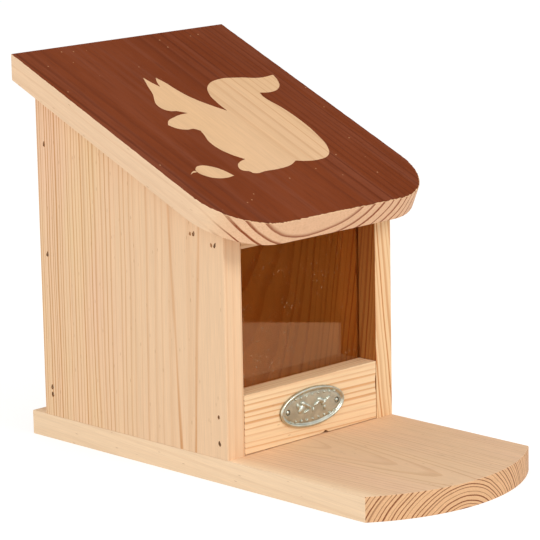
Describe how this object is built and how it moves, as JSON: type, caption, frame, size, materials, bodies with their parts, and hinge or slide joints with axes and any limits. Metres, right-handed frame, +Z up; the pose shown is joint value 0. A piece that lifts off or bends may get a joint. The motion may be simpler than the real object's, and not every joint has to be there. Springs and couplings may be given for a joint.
{
  "type": "squirrel feeder box",
  "caption": "Wooden squirrel feeder box on a base board with a bowed front, with a clear front pane and a sloping roof lid hinged at the back.",
  "frame": {"origin": "middle of the base board's bounding rectangle, on its underside", "axes": "+Z up, +Y towards the back of the feeder, +X to the right as seen from the front"},
  "size_m": [0.15, 0.264, 0.2067],
  "materials": {
    "bare_pine": "planed and sanded bare pine with its grain showing",
    "painted_pine": "pine with a thin satin red-brown paint on the top face",
    "clear_acrylic": "clear acrylic sheet",
    "zinc_plated_steel": "zinc plated steel",
    "pewter": "antiqued grey metal with a warm cast"
  },
  "bodies": {
    "box": {"back_panel": "bare_pine", "badge_pin_left": "pewter", "badge_pin_right": "pewter", "badge_plate": "pewter", "base_board": "bare_pine", "base_brad_1": "zinc_plated_steel", "base_brad_2": "zinc_plated_steel", "base_brad_3": "zinc_plated_steel", "base_brad_4": "zinc_plated_steel", "base_brad_5": "zinc_plated_steel", "base_brad_6": "zinc_plated_steel", "base_brad_7": "zinc_plated_steel", "base_brad_8": "zinc_plated_steel", "front_rail": "bare_pine", "front_top_strip": "bare_pine", "hanger_plate": "zinc_plated_steel", "hanger_screw_lower": "zinc_plated_steel", "hanger_screw_upper": "zinc_plated_steel", "inner_top_strip": "bare_pine", "left_hinge_lower_leaf": "zinc_plated_steel", "left_hinge_lower_screw_1": "zinc_plated_steel", "left_hinge_lower_screw_2": "zinc_plated_steel", "left_hinge_pin": "zinc_plated_steel", "left_side_brad_1": "zinc_plated_steel", "left_side_brad_2": "zinc_plated_steel", "left_side_brad_3": "zinc_plated_steel", "left_side_brad_4": "zinc_plated_steel", "left_side_brad_5": "zinc_plated_steel", "left_side_brad_6": "zinc_plated_steel", "left_side_brad_7": "zinc_plated_steel", "left_side_brad_8": "zinc_plated_steel", "left_side_panel": "bare_pine", "right_hinge_lower_leaf": "zinc_plated_steel", "right_hinge_lower_screw_1": "zinc_plated_steel", "right_hinge_lower_screw_2": "zinc_plated_steel", "right_hinge_pin": "zinc_plated_steel", "right_side_brad_1": "zinc_plated_steel", "right_side_brad_2": "zinc_plated_steel", "right_side_brad_3": "zinc_plated_steel", "right_side_brad_4": "zinc_plated_steel", "right_side_brad_5": "zinc_plated_steel", "right_side_brad_6": "zinc_plated_steel", "right_side_brad_7": "zinc_plated_steel", "right_side_panel": "bare_pine", "window_pane": "clear_acrylic"},
    "roof_lid": {"left_hinge_upper_leaf": "zinc_plated_steel", "left_hinge_upper_screw_1": "zinc_plated_steel", "left_hinge_upper_screw_2": "zinc_plated_steel", "right_hinge_upper_leaf": "zinc_plated_steel", "right_hinge_upper_screw_1": "zinc_plated_steel", "right_hinge_upper_screw_2": "zinc_plated_steel", "roof_board": "painted_pine"}
  },
  "joints": [
    {"name": "roof_hinge", "type": "hinge", "parent": "box", "child": "roof_lid", "pos_m": [0, 0.1232, 0.19285], "axis": [-1, 0, 0], "range_deg": [0, 110]}
  ]
}
